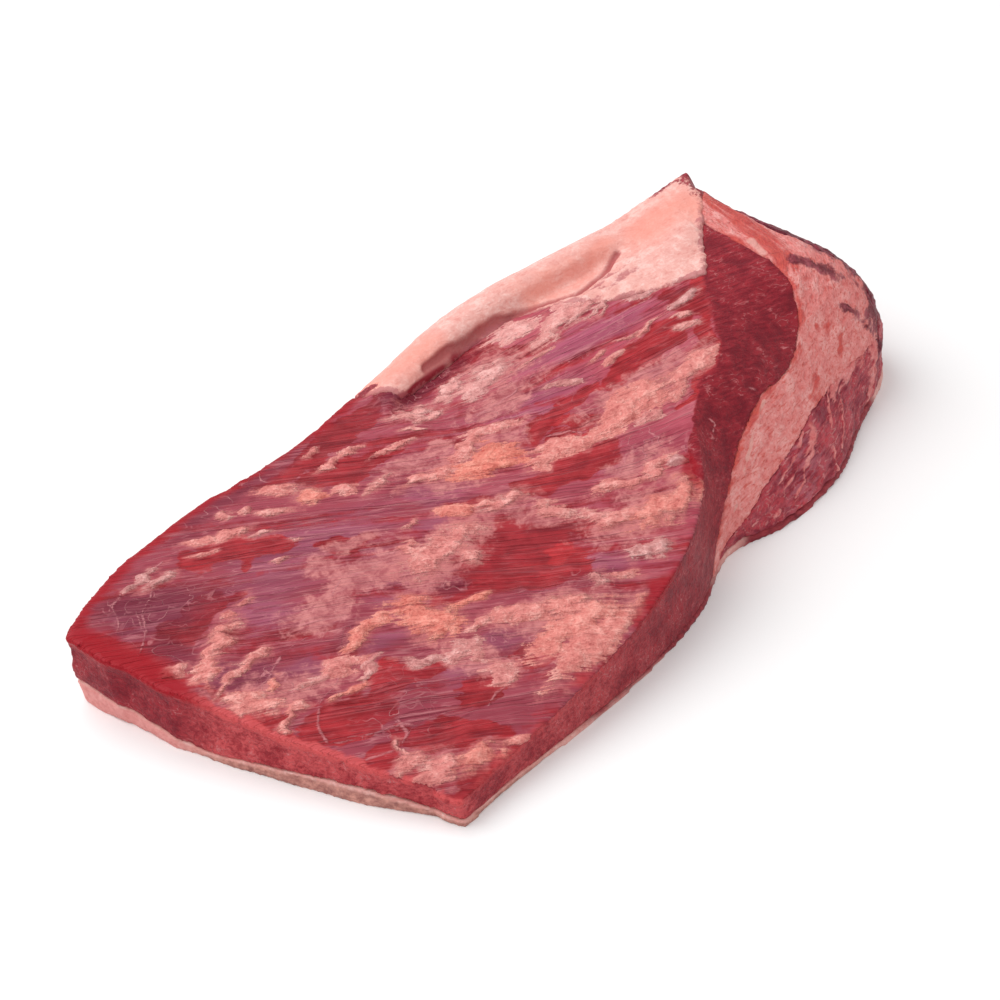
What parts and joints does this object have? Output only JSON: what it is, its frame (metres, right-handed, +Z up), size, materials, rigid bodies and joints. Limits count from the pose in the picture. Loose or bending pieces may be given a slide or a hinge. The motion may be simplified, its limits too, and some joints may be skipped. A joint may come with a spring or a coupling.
{
  "type": "raw beef brisket",
  "caption": "Raw beef brisket lying lean side up: a thin flat muscle, a thick point muscle, the fat seam between them and a fat cap that rolls over one edge.",
  "frame": {"origin": "on the table under the middle of the cut's bounding box", "axes": "+X along the cut from its thin end to its thick end, +Y towards the edge where the fat rolls over, +Z up"},
  "size_m": [0.4498, 0.2046, 0.087],
  "materials": {
    "flat_lean": "moist, fibrous lean meat under patches of silver skin",
    "point_lean": "moist, coarse lean meat",
    "seam_fat": "waxy pink fat, streaked",
    "cap_fat": "smooth, waxy cream fat"
  },
  "bodies": {
    "root": {"flat_muscle": "flat_lean", "point_muscle": "point_lean", "seam_fat": "seam_fat", "fat_cap": "cap_fat"}
  },
  "joints": []
}
